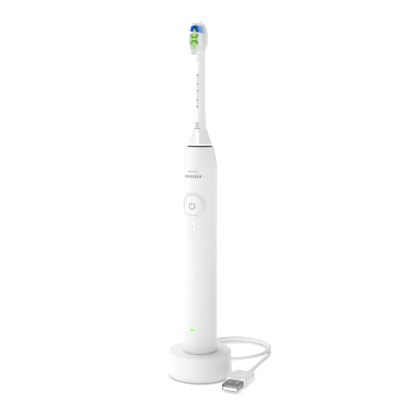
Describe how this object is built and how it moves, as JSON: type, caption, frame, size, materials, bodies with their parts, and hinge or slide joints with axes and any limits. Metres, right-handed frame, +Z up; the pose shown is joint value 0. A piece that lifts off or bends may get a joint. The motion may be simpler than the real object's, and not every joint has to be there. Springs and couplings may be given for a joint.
{
  "type": "electric toothbrush on charger",
  "caption": "Round-handled electric toothbrush with a slim three-colour brush head, standing on a round puck charger with a looped USB lead.",
  "frame": {"origin": "centre of the charging puck's underside, on the surface that it stands on", "axes": "+Z up along the handle; the brush's front, with its button and bristles, faces -Y"},
  "size_m": [0.0702, 0.1142, 0.2643],
  "materials": {
    "puck_white": "satin moulded",
    "base_grey": "fine spark texture",
    "foot_rubber": "matt",
    "bobbin_plastic": "moulded",
    "copper_wire": "enamelled wire",
    "ferrite": "matt sintered",
    "board_green": "solder mask",
    "component_black": "moulded epoxy",
    "cord_white": "smooth satin",
    "plug_white": "satin",
    "plug_steel": "plated",
    "tongue_white": "satin",
    "contact_gold": "plated",
    "handle_white": "satin gloss",
    "cap_white": "satin",
    "seal_black": "matt",
    "frame_grey": "moulded",
    "cell_wrap": "shrink wrap",
    "bare_steel": "turned",
    "led_lens": "clear epoxy",
    "window_white": "gloss",
    "lamp_green": "lit lens",
    "bearing_bronze": "sintered",
    "magnet": "nickel plated",
    "button_white": "satin",
    "neck_white": "gloss",
    "bristle_white": "nylon filaments",
    "bristle_green": "nylon filaments",
    "bristle_blue": "nylon filaments"
  },
  "bodies": {
    "charger": {"charger_housing": "puck_white", "charger_base_plate": "base_grey", "charger_feet": "foot_rubber", "primary_bobbin": "bobbin_plastic", "primary_coil": "copper_wire", "primary_core": "ferrite", "charger_circuit_board": "board_green", "charger_capacitors": "component_black", "charger_control_chip": "component_black", "cable_strain_relief": "cord_white", "power_cord": "cord_white", "usb_overmould": "plug_white", "usb_shell": "plug_steel", "usb_tongue": "tongue_white", "usb_contacts": "contact_gold"},
    "drive": {"drive_shaft": "bare_steel", "rotor_yoke": "bare_steel", "rotor_magnets": "magnet"},
    "button": {"power_button": "button_white"},
    "switch": {"switch_plunger": "component_black"},
    "brush_head": {"brush_neck": "neck_white", "neck_base_ring": "neck_white", "coupling_insert": "frame_grey", "white_tufts": "bristle_white", "green_tufts": "bristle_green", "blue_tufts": "bristle_blue"},
    "handle": {"battery_cell": "cell_wrap", "battery_led": "led_lens", "battery_light_window": "lamp_green", "battery_tabs": "bare_steel", "board_capacitors": "component_black", "button_bezel": "handle_white", "button_seal": "seal_black", "control_chip": "component_black", "end_cap_seal": "seal_black", "handle_end_cap": "cap_white", "handle_housing": "handle_white", "inner_frame": "frame_grey", "lower_bearing": "bearing_bronze", "lower_damper": "seal_black", "main_circuit_board": "board_green", "mode_leds": "led_lens", "mode_window": "window_white", "motor_can": "bare_steel", "secondary_bobbin": "bobbin_plastic", "secondary_coil": "copper_wire", "secondary_core": "ferrite", "shaft_seal": "seal_black", "stator_coils": "copper_wire", "stator_core": "bare_steel", "tact_switch_body": "component_black", "torsion_bar": "bare_steel", "upper_bearing": "bearing_bronze", "upper_damper": "seal_black"}
  },
  "joints": [
    {"name": "handle_lift", "type": "slide", "parent": "charger", "child": "handle", "axis": [0, 0, 1], "range_m": [0, 0.04]},
    {"name": "drive_oscillation", "type": "hinge", "parent": "handle", "child": "drive", "pos_m": [0, 0, 0.15], "axis": [0, 0, 1], "range_deg": [-5, 5], "stiffness_Nm_per_rad": 0.05},
    {"name": "brush_pull_off", "type": "slide", "parent": "drive", "child": "brush_head", "axis": [0, 0, 1], "range_m": [0, 0.035]},
    {"name": "button_press", "type": "slide", "parent": "handle", "child": "button", "axis": [0, 1, 0], "range_m": [0, 0.0004], "stiffness_N_per_m": 4000},
    {"name": "switch_travel", "type": "slide", "parent": "handle", "child": "switch", "axis": [0, 1, 0], "range_m": [0, 0.0004]}
  ],
  "couplings": [
    {"joint": "switch_travel", "follows": "button_press", "ratio": 1}
  ]
}
